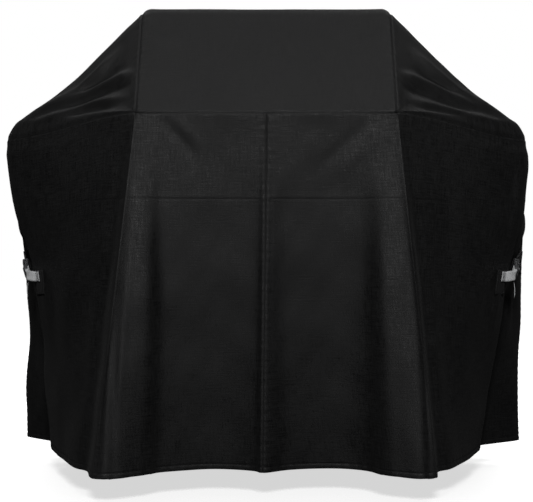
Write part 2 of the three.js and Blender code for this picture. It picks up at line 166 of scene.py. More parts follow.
left_hem = [
    station(18, -26, -14),
    station(98, -114, 10),
    station(196, -222, -20),
    station(228, -262, -36),
    station(250, -289, -70),
    station(270, -317, -97),
    station(284, -349, -106),
    waist_station(HOOD_CORNER, 0, -376, -98),  # front corner fold
    station(318, -404, -14),
    station(352, -433, 19),
    station(470, -483, 133),
    station(548, -508, 190),
    waist_station(SHELF_CORNER, 0, -543, 308),  # side fold below the buckle
    waist_station(SHELF_CORNER, 58, -533, 352),
    waist_station(SHELF_REAR, 0, -637, 468),  # rear corner
    waist_station(SHELF_REAR, 130, -545, 482),
    waist_station(HOOD_REAR, 0, -330, 466),
    waist_station(HOOD_REAR, 150, -170, 484),
]
right_hem = [
    station(-46, 53, 0),
    station(-140, 165, 15),
    station(-200, 230, -14),
    station(-250, 288, -78),
    station(-276, 328, -101),
    waist_station(-HOOD_CORNER, 0, 368, -90),  # front corner fold
    station(-314, 384, -22),
    station(-346, 410, 4),
    station(-425, 447, 70),
    station(-510, 487, 146),
    station(-600, 517, 222),
    waist_station(-SHELF_CORNER, 0, 531, 268),  # side fold below the buckle
    waist_station(-SHELF_CORNER, -50, 530, 312),
    waist_station(-SHELF_REAR, 0, 660, 412),  # rear corner
    waist_station(-SHELF_REAR, -130, 566, 470),
    waist_station(-HOOD_REAR, 0, 330, 484),
    waist_station(-HOOD_REAR, -150, 170, 468),
]
hem_stations = np.array(
    [waist_station(-HALF_WAIST, 0, 0, 478), *right_hem[::-1], station(0, -9, -34), *left_hem,
     waist_station(HALF_WAIST, 0, 0, 478)])
RIGHT_BACK = -len(right_hem) - 1
LEFT_BACK = len(left_hem) + 1
LEFT_CORNER, LEFT_FOLD, LEFT_REAR = 8, 13, 15
RIGHT_CORNER, RIGHT_FOLD, RIGHT_REAR = -6, -12, -14


def centripetal(points, steps=48):
    """Centripetal Catmull-Rom through points, steps to a span."""
    p = np.vstack([2 * points[0] - points[1], points, 2 * points[-1] - points[-2]])
    out = []
    for a, b, c, d in zip(p, p[1:], p[2:], p[3:]):
        gaps = [max(np.linalg.norm(q - r), 1e-9) ** 0.5 for q, r in ((b, a), (c, b), (d, c))]
        into = (b - a) / gaps[0] - (c - a) / (gaps[0] + gaps[1]) + (c - b) / gaps[1]
        outof = (c - b) / gaps[1] - (d - b) / (gaps[1] + gaps[2]) + (d - c) / gaps[2]
        into, outof = into * gaps[1], outof * gaps[1]
        t = np.linspace(0, 1, steps, endpoint=False)[:, None]
        out.append(b + into * t + (3 * (c - b) - 2 * into - outof) * t**2
                   + (2 * (b - c) + into + outof) * t**3)
    out.append(points[-1:])
    return np.vstack(out)


SPAN = 48
hem_line = centripetal(hem_stations, SPAN)
hem_places = RIGHT_BACK + np.arange(len(hem_line)) / SPAN


# Each side stands out or in with the drop: size, middle and half width of each swell.
left_swells = [(5 * MM, 0.22, 0.18), (-13 * MM, 0.65, 0.11)]
right_swells = [(26 * MM, 0.36, 0.27)]


def side_swell(place, drop):
    left = place > 0
    swell = sum(size * bell(drop, middle, half) for size, middle, half in left_swells) * left
    swell = swell + sum(size * bell(drop, middle, half) for size, middle, half in right_swells) * (1 - left)
    fold = np.where(left, LEFT_FOLD, RIGHT_FOLD)
    drawn = bell(drop, CINCH_DROP, 0.16) * bell(place, fold, 1.5)
    return smoothstep(drop, 0, 0.1) * (swell - CINCH_DEPTH * drawn)


def skirt_base(place, drop):
    """The skirt's smooth surface: place counts stations from the front centre, drop is 0 to 1."""
    place, drop = np.broadcast_arrays(np.asarray(place, float), np.asarray(drop, float))
    x, y, waist = (np.interp(place, hem_places, hem_line[:, i]) for i in range(3))
    top = waist_point(waist)
    share = drop[..., None]
    point = top * (1 - share) + stack(x, y, np.full_like(x, HEM)) * share
    wide = smoothstep(np.abs(point[..., 0]), 0.4, 0.56)
    point[..., 0] += np.sign(point[..., 0]) * wide * side_swell(place, drop)
    return point


# ---- Hood and shoulders ----
def below(corner, foot, size):
    return np.array(corner) + unit(np.array(foot, float) - np.array(corner)) * size


def hood_profile():
    feet = [(FRONT, WAIST), (BACK, WAIST)]
    corners = [(LID_FRONT, TOP), (LID_BACK, TOP)]
    return rounded_run([feet[0], *corners, feet[1]], [LID_ROUND, LID_ROUND])


profile, profile_far = hood_profile()
PROFILE = profile_far[-1]


def hood_base(x, share):
    along = np.clip(share, 0, 1) * PROFILE
    y = np.interp(along, profile_far, profile[:, 0])
    z = np.interp(along, profile_far, profile[:, 1])
    over = np.clip((np.abs(x) - HOOD_HALF + HOOD_EDGE_ROUND) / HOOD_EDGE_ROUND, 0, 1)
    high = smoothstep(z, WAIST, TOP)
    return stack(x, y, z - HOOD_EDGE_DROP * high * over**2)


def shoulder_base(side, share, reach):
    """side is -1 for left and 1 for right; reach runs from the hood seam to the waist seam."""
    inner = hood_base(np.full_like(share, side * HOOD_HALF), share)
    outer = waist_point(-side * (HOOD_CORNER + (HOOD_REAR - HOOD_CORNER) * share))
    bow = np.sin(np.pi * np.clip(share, 0, 1))
    r = np.clip(reach, 0, 1)
    point = inner + (outer - inner) * reach[..., None]
    edge = np.clip((r - 0.92) / 0.08, 0, 1)
    point[..., 2] += SHELF_LIP * bow * (r - edge**2)
    point[..., 2] -= SHOULDER_SAG * bow * np.sin(np.pi * r**1.3)
    return point


# ---- Soft folds: lines drawn in the front view, x and height above the hem in millimetres ----
class Fold:
    """A ridge, or a valley where the rise is negative, that fades in and out along its line."""

    def __init__(self, rise, width, line, fade_in=0.3, fade_out=0.3):
        self.rise, self.width = rise * MM, width * MM
        self.line = np.array(line, float) * MM
        self.fade_in, self.fade_out = fade_in, fade_out

    def height(self, x, h):
        steps = np.linalg.norm(np.diff(self.line, axis=0), axis=1)
        starts = np.concatenate([[0], np.cumsum(steps)])
        nearest = np.full(np.shape(x), 1e9)
        share = np.zeros(np.shape(x))
        for start, end, step, gone in zip(self.line, self.line[1:], steps, starts):
            way = (end - start) / step
            t = np.clip((x - start[0]) * way[0] + (h - start[1]) * way[1], 0, step)
            away = np.hypot(x - start[0] - way[0] * t, h - start[1] - way[1] * t)
            closer = away < nearest
            nearest = np.where(closer, away, nearest)
            share = np.where(closer, (gone + t) / starts[-1], share)
        risen = smoothstep(share, 0, self.fade_in + 1e-6)
        falling = smoothstep(share, 1 - self.fade_out - 1e-6, 1)
        along = risen * (1 - falling)
        return self.rise * along * np.exp(-((nearest / self.width) ** 2))


front_folds = [
    Fold(14, 27, [(-262, 700), (-266, 560), (-266, 380), (-268, 200), (-270, 0)], 0.5, 0.0),
    Fold(3.5, 12, [(-290, 720), (-298, 569), (-305, 457), (-316, 313), (-334, 98), (-338, 0)], 0.6, 0.0),
    Fold(-4, 7, [(-322, 380), (-329, 260), (-332, 130), (-333, 0)], 0.5, 0.0),
    Fold(3, 7, [(-338, 380), (-346, 220), (-351, 60), (-352, 0)], 0.5, 0.0),
    Fold(11, 27, [(252, 700), (258, 560), (260, 380), (264, 200), (266, 0)], 0.5, 0.0),
    Fold(3.5, 13, [(290, 720), (308, 569), (322, 457), (331, 312), (336, 97), (337, 0)], 0.6, 0.0),
    Fold(-3, 8, [(350, 330), (352, 200), (352, 0)], 0.5, 0.0),
    Fold(-2.6, 15, [(-246, 800), (-200, 750), (-168, 715), (-170, 660)], 0.25, 0.5),
    Fold(1.6, 14, [(-215, 800), (-170, 755), (-140, 700)], 0.25, 0.5),
    Fold(-2.6, 17, [(250, 798), (178, 736), (122, 682), (95, 640)], 0.25, 0.5),
    Fold(1.6, 14, [(262, 760), (196, 700), (150, 640)], 0.3, 0.5),
    Fold(1.4, 30, [(-60, 640), (-75, 480), (-62, 260)], 0.5, 0.5),
    Fold(1.4, 30, [(90, 600), (100, 400), (84, 200)], 0.5, 0.5),
    Fold(-1.2, 26, [(20, 560), (26, 380), (20, 160)], 0.5, 0.5),
    Fold(-1.5, 30, [(-190, 520), (-196, 300), (-200, 60)], 0.5, 0.3),
    Fold(-1.5, 30, [(180, 520), (186, 300), (190, 60)], 0.5, 0.3),
]
side_folds = [
    Fold(7, 20, [(-630, 720), (-612, 660), (-598, 570), (-585, 500)], 0.2, 0.2),
    Fold(-3, 9, [(-590, 740), (-578, 660), (-560, 570), (-548, 500)], 0.3, 0.2),
    Fold(5, 12, [(-562, 440), (-548, 400), (-536, 330), (-528, 240)], 0.2, 0.6),
    Fold(-5, 16, [(-548, 460), (-520, 380), (-500, 280)], 0.3, 0.5),
    Fold(4, 22, [(-440, 700), (-452, 540), (-470, 360), (-478, 120)], 0.4, 0.3),
    Fold(-4, 22, [(-400, 640), (-412, 440), (-420, 240), (-424, 60)], 0.5, 0.2),
    Fold(7, 20, [(636, 720), (630, 660), (622, 570), (610, 500)], 0.2, 0.2),
    Fold(-3, 9, [(594, 740), (590, 660), (580, 570), (566, 500)], 0.3, 0.2),
    Fold(5, 12, [(580, 440), (566, 400), (552, 330), (544, 240)], 0.2, 0.6),
    Fold(-5, 16, [(562, 460), (536, 380), (514, 280)], 0.3, 0.5),
    Fold(4, 22, [(440, 700), (450, 540), (466, 360), (472, 120)], 0.4, 0.3),
    Fold(-4, 22, [(398, 640), (408, 440), (414, 240), (418, 60)], 0.5, 0.2),
]
depth_folds = [  # on the sides, drawn from the strap outwards: distance behind the front seam, and height
    Fold(-5, 12, [(330, 505), (370, 470), (410, 400)], 0.3, 0.5),
    Fold(5, 14, [(330, 520), (380, 560), (430, 640)], 0.3, 0.5),
    Fold(-4, 13, [(330, 540), (360, 620), (380, 700)], 0.3, 0.4),
    Fold(5, 15, [(300, 430), (330, 340), (350, 220)], 0.3, 0.5),
    Fold(-5, 16, [(270, 420), (300, 300), (320, 150)], 0.3, 0.4),
    Fold(6, 20, [(400, 400), (430, 240), (440, 60)], 0.4, 0.2),
]
shoulder_folds = [
    Fold(11, 11, [(-336, 985), (-362, 950), (-393, 917), (-441, 876), (-534, 832), (-596, 806)], 0.25, 0.3),
    Fold(-5, 9, [(-325, 930), (-360, 906), (-410, 880), (-470, 852)], 0.3, 0.4),
    Fold(8, 9, [(-298, 908), (-340, 896), (-381, 882), (-472, 847), (-541, 822)], 0.15, 0.4),
    Fold(-6, 9, [(-304, 878), (-370, 864), (-440, 838), (-520, 812)], 0.2, 0.4),
    Fold(7, 9, [(-302, 848), (-402, 838), (-512, 811), (-584, 790)], 0.25, 0.3),
    Fold(-5, 9, [(-330, 828), (-420, 818), (-500, 796)], 0.3, 0.4),
    Fold(9, 11, [(330, 985), (358, 950), (395, 917), (450, 876), (545, 832), (600, 806)], 0.25, 0.3),
    Fold(-5, 9, [(325, 930), (366, 906), (420, 880), (486, 852)], 0.3, 0.4),
    Fold(8, 9, [(300, 908), (345, 893), (391, 878), (477, 844), (554, 818)], 0.15, 0.4),
    Fold(-6, 9, [(304, 872), (370, 856), (440, 834), (520, 812)], 0.2, 0.4),
    Fold(6, 9, [(304, 845), (404, 827), (515, 809), (588, 796)], 0.25, 0.3),
    Fold(-4, 8, [(330, 826), (420, 812), (500, 796)], 0.3, 0.4),
]
hood_folds = [
    Fold(-3, 22, [(-285, 1040), (-240, 1000), (-180, 980)], 0.3, 0.5),
    Fold(-3, 22, [(285, 1040), (246, 1004), (190, 990)], 0.3, 0.5),
    Fold(2, 30, [(-120, 840), (-60, 900), (40, 930)], 0.5, 0.5),
    Fold(2, 26, [(230, 830), (240, 900), (252, 960)], 0.5, 0.5),
    Fold(-2, 30, [(60, 860), (140, 880), (200, 930)], 0.5, 0.5),
]

ripples = [  # direction, wavelength and size of the slow unevenness of hung cloth
    ((0.9, 0.4, 0.25), 210 * MM, 0.9 * MM),
    ((-0.35, 0.8, 0.9), 145 * MM, 0.6 * MM),
    ((0.55, -0.7, 0.8), 96 * MM, 0.35 * MM),
    ((-0.8, -0.2, 0.55), 61 * MM, 0.18 * MM),
]


def unevenness(points):
    total = 0
    for number, (way, length, size) in enumerate(ripples):
        total = total + size * np.sin(points @ unit(np.array(way)) * (2 * np.pi / length) + 1.7 * number)
    return total


SEAM_RISE = 2.2 * MM  # the cloth stands this proud on both sides of a sewn seam
SEAM_HALF = 3.4 * MM
PUCKER = 0.45 * MM
PUCKER_PITCH = 17 * MM


def seam_rise(away, along=None):
    """Height of the cloth at a distance from a seam, which is pulled down to the seam itself."""
    rise = SEAM_RISE * (1 - np.exp(-((away / SEAM_HALF) ** 2))) * np.exp(-away / (26 * MM))
    if along is not None:
        wave = np.sin(along * 2 * np.pi / PUCKER_PITCH + 1.3 * np.sin(along * 2 * np.pi / (71 * MM)))
        rise = rise + PUCKER * wave * (away / (5 * MM)) * np.exp(1 - away / (5 * MM))
    return rise


def clear_of(away, far=22 * MM):
    """Fades folds out at a seam."""
    return smoothstep(away, 0, far)


# ---- Meshes from grids ----
def spaced(length, spacing, fine_at=()):
    """Even steps over a length, with closer ones beside each place that has a seam or crease."""
    close = np.array([0, 0.8, 1.7, 2.8, 4.2, 6.2]) * MM
    marks = [np.linspace(0, length, int(round(length / spacing)) + 1)]
    marks += [place + way * close for place in fine_at for way in (-1, 1)]
    marks = np.unique(np.clip(np.round(np.concatenate(marks), 6), 0, length))
    fine = np.min([np.abs(marks - place) for place in fine_at] or [marks + 1], axis=0) < 6.5 * MM
    kept = [marks[0]]
    for mark, is_fine in zip(marks[1:-1], fine[1:-1]):
        if mark - kept[-1] >= (0.6 * MM if is_fine else 0.45 * spacing) and marks[-1] - mark >= 0.6 * MM:
            kept.append(mark)
    return np.array([*kept, marks[-1]])


def facing(points):
    """Outward normals of a grid whose columns x rows point outwards."""
    return unit(np.cross(np.gradient(points, axis=1), np.gradient(points, axis=0)))


def grid_mesh(name, points, uv, merge=0.0):
    """A quad mesh from rows x columns of points, with uv in metres."""
    rows, columns = points.shape[:2]
    index = np.arange(rows * columns).reshape(rows, columns)
    faces = np.stack([index[:-1, :-1], index[:-1, 1:], index[1:, 1:], index[1:, :-1]], -1).reshape(-1, 4)
    mesh = bpy.data.meshes.new(name)
    mesh.from_pydata(points.reshape(-1, 3).tolist(), [], faces.tolist())
    layer = mesh.uv_layers.new(name="cloth")
    loops = np.empty(len(mesh.loops), int)
    mesh.loops.foreach_get("vertex_index", loops)
    layer.data.foreach_set("uv", uv.reshape(-1, 2)[loops].ravel())
    if merge:
        work = bmesh.new()
        work.from_mesh(mesh)
        bmesh.ops.remove_doubles(work, verts=work.verts, dist=merge)
        bmesh.ops.dissolve_degenerate(work, edges=work.edges, dist=merge)
        work.to_mesh(mesh)
        work.free()
    mesh.polygons.foreach_set("use_smooth", [True] * len(mesh.polygons))
    return mesh


def piece_from(mesh, material, body, slot, *nodes):
    piece = bpy.data.objects.new(mesh.name, mesh)
    bpy.context.scene.collection.objects.link(piece)
    mesh.materials.clear()
    mesh.materials.append(material)
    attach(piece, body)
    if nodes:
        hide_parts(*nodes)
    return piece


def thicken(piece, thickness, offset=-1.0):
    solid = piece.modifiers.new("thickness", "SOLIDIFY")
    solid.thickness = thickness
    solid.offset = offset
    solid.use_even_offset = False
    return piece


def surface_area(points):
    across = np.diff(points, axis=1)[:-1]
    down = np.diff(points, axis=0)[:, :-1]
    return float(np.linalg.norm(np.cross(across, down), axis=-1).sum())


def declare_sheet(width, length, points):
    area = min(surface_area(points), width * length)
    max(area, 0.31 * width * length)


class Panel:
    """A finished panel's grid, kept so that stitching and tape can follow it."""

    def __init__(self, points, across, down):
        self.points, self.across, self.down = points, across, down
        self.out = facing(points)

    def along_row(self, depth, from_last=False):
        """The line a distance below the panel's first row, or above its last."""
        down = self.down[-1] - self.down if from_last else self.down
        return self._line(down, depth, 0)

    def along_column(self, distance, from_last=False):
        across = self.across[:, -1:] - self.across if from_last else self.across
        return self._line(across, distance, 1)

    def _line(self, measure, wanted, axis):
        count = self.points.shape[1 - axis]
        spots, outs = [], []
        for i in range(count):
            column = measure.take(i, 1 - axis)
            order = np.argsort(column)
            place = np.interp(wanted, column[order], order.astype(float))
            low = int(np.clip(np.floor(place), 0, self.points.shape[axis] - 2))
            t = place - low
            for values, out in ((self.points, spots), (self.out, outs)):
                row = values.take(i, 1 - axis)
                out.append(row[low] * (1 - t) + row[low + 1] * t)
        return np.array(spots), unit(np.array(outs))


# ---- Shader maths ----
class Value:
    """A shader socket that takes part in sums; each operation adds its Math node."""

    def __init__(self, paint, socket):
        self.paint, self.socket = paint, socket

    def maths(self, operation, *others):
        return self.paint.node("ShaderNodeMath", {"operation": operation}, [self, *others])

    def __add__(self, other):
        return self.maths("ADD", other)

    __radd__ = __add__

    def __sub__(self, other):
        return self.maths("SUBTRACT", other)

    def __rsub__(self, other):
        return self.paint.node("ShaderNodeMath", {"operation": "SUBTRACT"}, [other, self])

    def __mul__(self, other):
        return self.maths("MULTIPLY", other)

    __rmul__ = __mul__

    def sine(self):
        return self.maths("SINE")

    def magnitude(self):
        return self.maths("ABSOLUTE")

    def over(self, level):
        return self.maths("GREATER_THAN", level)

    def between(self, low, high):
        settings = {"interpolation_type": "SMOOTHSTEP"}
        inputs = {"Value": self, "From Min": low, "From Max": high}
        return self.paint.node("ShaderNodeMapRange", settings, inputs)


class Paint:
    """One material and the way its nodes are made."""

    def __init__(self, name, **finish):
        self.material = bpy.data.materials.new(name)
        self.material.use_nodes = True
        self.tree = self.material.node_tree
        self.shader = next(n for n in self.tree.nodes if n.type == "BSDF_PRINCIPLED")
        for socket, value in finish.items():
            self.shader.inputs[socket.replace("_", " ")].default_value = value

    def node(self, kind, settings=None, inputs=(), output=0):
        """Adds a node: settings first, then the values or links of its sockets."""
        made = self.tree.nodes.new(kind)
        for key, value in (settings or {}).items():
            setattr(made, key, value)
        pairs = inputs.items() if isinstance(inputs, dict) else enumerate(inputs)
        for key, value in pairs:
            if isinstance(value, Value):
                self.tree.links.new(value.socket, made.inputs[key])
            else:
                made.inputs[key].default_value = value
        return Value(self, made.outputs[output])

    def to(self, socket, value):
        self.tree.links.new(value.socket, self.shader.inputs[socket])

    def noise(self, where, scale, detail=2.0, roughness=0.5):
        inputs = {"Vector": where, "Scale": scale, "Detail": detail, "Roughness": roughness}
        return self.node("ShaderNodeTexNoise", {}, inputs)

    def mix(self, factor, dark, light):
        """A colour between two, by a factor."""
        made = self.tree.nodes.new("ShaderNodeMix")
        made.data_type = "RGBA"
        self.tree.links.new(factor.socket, made.inputs["Factor"])
        for key, colour in ((6, dark), (7, light)):
            if isinstance(colour, Value):
                self.tree.links.new(colour.socket, made.inputs[key])
            else:
                made.inputs[key].default_value = (*colour, 1)
        return Value(self, made.outputs[2])

    def stretched(self, where, scale):
        """A place multiplied axis by axis."""
        return self.node("ShaderNodeVectorMath", {"operation": "MULTIPLY"}, [where, scale])

    def bump(self, height, strength, distance):
        inputs = {"Height": height, "Strength": strength, "Distance": distance}
        return self.node("ShaderNodeBump", {}, inputs)

    def uv(self):
        made = self.tree.nodes.new("ShaderNodeUVMap")
        made.uv_map = "cloth"
        parts = self.tree.nodes.new("ShaderNodeSeparateXYZ")
        self.tree.links.new(made.outputs[0], parts.inputs[0])
        return Value(self, made.outputs[0]), Value(self, parts.outputs[0]), Value(self, parts.outputs[1])

    def place(self):
        made = self.tree.nodes.new("ShaderNodeTexCoord")
        return Value(self, made.outputs["Object"])


def woven(name, dark, light, pitch, roughness, relief, **finish):
    """Plain-weave cloth: two sets of threads a pitch apart that pass over and under each other."""
    paint = Paint(name, **finish)
    flat, across, down = paint.uv()
    turn = math.pi / pitch
    warp = (across * turn).sine()
    weft = (down * turn).sine()
    crossing = (warp * weft).over(0.0)
    threads = crossing * warp.magnitude() + (1 - crossing) * weft.magnitude()
    warp_slub = paint.noise(paint.stretched(flat, (420.0, 26.0, 1.0)), 1.0, 2.0, 0.6)
    weft_slub = paint.noise(paint.stretched(flat, (26.0, 420.0, 1.0)), 1.0, 2.0, 0.6)
    cloudy = paint.noise(paint.place(), 6.0, 4.0, 0.65)
    heather = paint.noise(paint.place(), 260.0, 2.0, 0.6)
    mixed = warp_slub * 0.28 + weft_slub * 0.28 + cloudy * 0.22 + heather * 0.14 + threads * 0.08
    shade = mixed.between(0.36, 0.66)
    paint.to("Base Color", paint.mix(shade, dark, light))
    slubs = warp_slub + weft_slub - 1.0
    paint.to("Roughness", (cloudy - 0.5) * 0.14 + (heather - 0.5) * 0.2 + slubs * 0.55 + roughness)
    fine = threads * 0.8 + (warp_slub + weft_slub) * 3.0 + heather * 1.2
    paint.to("Normal", paint.bump(fine, relief, 0.2 * MM))
    return paint.material


def ribbed(name, dark, light, roughness, **finish):
    """Narrow webbing: ribs across it, a herringbone of threads and a plain selvedge at each edge."""
    paint = Paint(name, **finish)
    flat, across, along = paint.uv()
    ribs = (along * (2 * math.pi / (1.6 * MM))).sine()
    lean = ((along + across.magnitude() * 0.6) * (2 * math.pi / (3.2 * MM))).sine()
    edge = across.magnitude().between(WEBBING / 2 - 2.2 * MM, WEBBING / 2 - 1.6 * MM)
    threads = ribs * 0.5 + lean * (1 - edge) * 0.35 + 0.5
    fuzz = paint.noise(paint.place(), 700.0, 2.0, 0.6)
    grime = paint.noise(paint.place(), 70.0, 3.0, 0.6)
    shade = (threads * 0.4 + fuzz * 0.3 + grime * 0.5 - edge * 0.15).between(0.25, 0.85)
    paint.to("Base Color", paint.mix(shade, dark, light))
    paint.to("Roughness", roughness + (fuzz - 0.5) * 0.2)
    paint.to("Normal", paint.bump(threads + fuzz * 0.5, 0.7, 0.35 * MM))
    return paint.material


def moulded_plastic():
    """Dark grey acetal with the fine grain of its mould and random patches rubbed a little brighter."""
    paint = Paint("buckle_acetal", Specular_IOR_Level=0.5, Coat_Roughness=0.4)
    where = paint.place()
    grain = paint.noise(where, 1900.0, 2.0, 0.5)
    rubbed = paint.noise(where, 160.0, 4.0, 0.65)
    worn = rubbed.between(0.35, 0.7)
    paint.to("Base Color", paint.mix(worn, (0.030, 0.031, 0.033), (0.052, 0.053, 0.056)))
    paint.to("Roughness", 0.38 + rubbed * 0.22)
    paint.to("Normal", paint.bump(grain + rubbed * 0.3, 0.35, 0.08 * MM))
    return paint.material


def sewing_thread(name, colour):
    paint = Paint(name, Roughness=0.55, Specular_IOR_Level=0.35)
    twist = paint.noise(paint.place(), 1500.0, 1.0, 0.5)
    paint.to("Base Color", paint.mix(twist, tuple(0.7 * c for c in colour), tuple(1.3 * c for c in colour)))
    return paint.material


cloth_black = woven("black_cover_cloth", (0.0012, 0.0012, 0.0013), (0.0095, 0.0096, 0.0098), 1.1 * MM,
                    0.6, 0.55, Sheen_Weight=0.02, Sheen_Roughness=0.5, Specular_IOR_Level=0.34)
tape_black = woven("black_seam_tape", (0.006, 0.006, 0.0062), (0.0105, 0.0105, 0.011), 0.8 * MM, 0.8, 0.5,
                   Sheen_Weight=0.04, Sheen_Roughness=0.5, Specular_IOR_Level=0.2)
patch_black = woven("black_patch_cloth", (0.005, 0.005, 0.0052), (0.0095, 0.0095, 0.01), 1.4 * MM, 0.68, 0.7,
                    Sheen_Weight=0.04, Sheen_Roughness=0.5, Specular_IOR_Level=0.3)
webbing_grey = ribbed("grey_webbing_weave", (0.42, 0.43, 0.44), (0.82, 0.83, 0.84), 0.75,
                      Sheen_Weight=0.1, Sheen_Roughness=0.5, Specular_IOR_Level=0.3)
webbing_black = ribbed("black_webbing_weave", (0.006, 0.006, 0.0065), (0.016, 0.016, 0.017), 0.7,
                       Sheen_Weight=0.06, Sheen_Roughness=0.5, Specular_IOR_Level=0.3)
buckle_grey = moulded_plastic()
thread_black = sewing_thread("black_sewing_thread", (0.014, 0.014, 0.015))
thread_grey = sewing_thread("grey_sewing_thread", (0.05, 0.05, 0.052))


# ---- Skirt ----
def stations_along(first, last, spacing, fine_first=True, fine_last=True):
    """Stations from first to last, evenly spaced along the cloth, closer beside the seams."""
    place = np.linspace(first, last, 1500)
    points = skirt_base(place, np.full_like(place, 0.6))
    far = distance_along(points)
    marks = spaced(far[-1], spacing, [0] * fine_first + [far[-1]] * fine_last)
    return np.interp(marks, far, place)


skirt_drops = spaced(DROP, GRID, [0, DROP - PRESS_LINE, DROP - HEM_STITCH, DROP]) / DROP


SHELF_BULGE = 8 * MM  # the cloth stands out below the shelf ends before it falls straight


def skirt_relief(points, place, across, drop):
    """Height of the cloth over the smooth skirt: folds, seams, the press line and the hem."""
    x, h = points[..., 0], points[..., 2] - HEM
    below = drop * DROP
    away = np.minimum(across, across[:, -1:] - across)
    on_front = points[..., 1] < FRONT + 60 * MM
    folds = sum(fold.height(x, h) for fold in front_folds) * on_front
    past_fold = np.where(place > 0, place - LEFT_FOLD, RIGHT_FOLD - place)
    forwards = (1 - smoothstep(past_fold, -0.9, 0.1)) * (np.abs(place) > 5)
    folds = folds + sum(fold.height(x, h) for fold in side_folds) * forwards
    sideways = smoothstep(past_fold, -0.1, 0.5) * (1 - smoothstep(past_fold, 2.4, 3.2))
    back = points[..., 1] - FRONT
    folds = folds + sum(fold.height(back, h) for fold in depth_folds) * sideways
    folds = folds * clear_of(below) * clear_of(away, 8 * MM)
    uneven = unevenness(points) * clear_of(below, 60 * MM) * clear_of(away, 40 * MM)
    pressed = -0.32 * MM * bell(h, PRESS_LINE, 2.2 * MM) + 0.35 * MM * bell(h, PRESS_LINE + 7 * MM, 5 * MM)
    hem = -0.7 * MM * bell(h, HEM_STITCH, 2 * MM) + 0.5 * MM * bell(h, 5 * MM, 5 * MM)
    hem_wave = 0.5 * MM * np.sin(across * 2 * np.pi / (23 * MM)) * bell(h, HEM_STITCH, 9 * MM)
    over_shelf = SHELF_BULGE * smoothstep(below, 0, 42 * MM) * (1 - smoothstep(below, 170 * MM, 330 * MM))
    folds = folds + over_shelf * smoothstep(np.abs(x), 0.36, 0.56)
    seams = seam_rise(below, across) + (pressed + hem + hem_wave) * clear_of(away, 12 * MM)
    return folds + uneven + seams


CORNER_RISE = 2.0 * MM  # the pressed front corners stand proud as a thin ridge
corner_stations = (LEFT_CORNER, RIGHT_CORNER)


def skirt_panel(name, first, last, node):
    places = stations_along(first, last, GRID)
    place, drop = np.meshgrid(places, skirt_drops)
    base = skirt_base(place, drop)
    steps = np.linalg.norm(np.diff(base, axis=1), axis=-1)
    across = np.concatenate([np.zeros((len(skirt_drops), 1)), np.cumsum(steps, axis=1)], axis=1)
    relief = skirt_relief(base, place, across, drop)
    for station_line, away in ((first, across), (last, across[:, -1:] - across)):
        along = drop * DROP
        if station_line in corner_stations:
            relief += CORNER_RISE * np.exp(-away / (2.6 * MM)) * smoothstep(drop, 0, 0.04)
        else:
            relief += seam_rise(away, along) * smoothstep(drop, 0, 0.02)
    if last == 0:  # a second line of stitching beside the centre front seam
        relief -= 0.6 * MM * bell(across[:, -1:] - across, 14 * MM, 2 * MM)
    step = 2e-3
    normal = unit(np.cross(skirt_base(place + step, drop) - skirt_base(place - step, drop),
                           skirt_base(place, drop + step) - skirt_base(place, drop - step)))
    points = base + normal * relief[..., None]
    uv = stack(across, (1 - drop) * DROP)
    piece = piece_from(grid_mesh(name, points, uv), cloth_black, "cover", "cover_cloth", node)
    thicken(piece, CLOTH)
    width = float(steps[-1].sum())
    declare_sheet(width, DROP, base)
    return Panel(points, across, skirt_drops[:, None] * DROP + 0 * across)


skirt_panels = {
    name: skirt_panel(f"cloth_{name}", first, last, name)
    for name, first, last in [
        ("skirt_front_left", 0, LEFT_CORNER),
        ("skirt_front_right", RIGHT_CORNER, 0),
        ("skirt_side_left", LEFT_CORNER, LEFT_REAR),
        ("skirt_side_right", RIGHT_REAR, RIGHT_CORNER),
        ("skirt_back_left", LEFT_REAR, LEFT_BACK),
        ("skirt_back_right", RIGHT_BACK, RIGHT_REAR),
    ]
}


# ---- Hood ----
def hood_panel():
    across = spaced(2 * HOOD_HALF, GRID, [0, 2 * HOOD_HALF])
    along = spaced(PROFILE, GRID, [0, PROFILE])
    x, far = np.meshgrid(across - HOOD_HALF, along)
    share = far / PROFILE
    base = hood_base(x, share)
    up = hood_base(x, np.minimum(share + 2e-3, 1)) - hood_base(x, np.maximum(share - 2e-3, 0))
    normal = unit(np.cross(np.array([1.0, 0, 0]), up))
    side = HOOD_HALF - np.abs(x)
    foot = np.minimum(far, PROFILE - far)
    h = base[..., 2] - HEM
    on_front = base[..., 1] < LID_FRONT + 10 * MM
    folds = sum(fold.height(x, h) for fold in hood_folds) * on_front * clear_of(side) * clear_of(foot)
    uneven = unevenness(base) * clear_of(side, 50 * MM) * clear_of(foot, 50 * MM)
    level = smoothstep(base[..., 2], TOP - 30 * MM, TOP)
    relief = folds + uneven * (1 - 0.7 * level) + seam_rise(side, far) * (1 - smoothstep(side, 0.1, 0.12))
    relief = relief + seam_rise(foot, x) * smoothstep(side, 0, 5 * MM)
    points = base + normal * relief[..., None]
    mesh = grid_mesh("cloth_hood", points, stack(x, far))
    piece = piece_from(mesh, cloth_black, "cover", "cover_cloth", "hood_panel")
    thicken(piece, CLOTH)
    declare_sheet(2 * HOOD_HALF, PROFILE, base)
    return Panel(points, x + HOOD_HALF, far)


hood = hood_panel()


# ---- Shoulders ----
SHOULDER_REACH = 0.43  # longest way from the hood seam to the waist seam


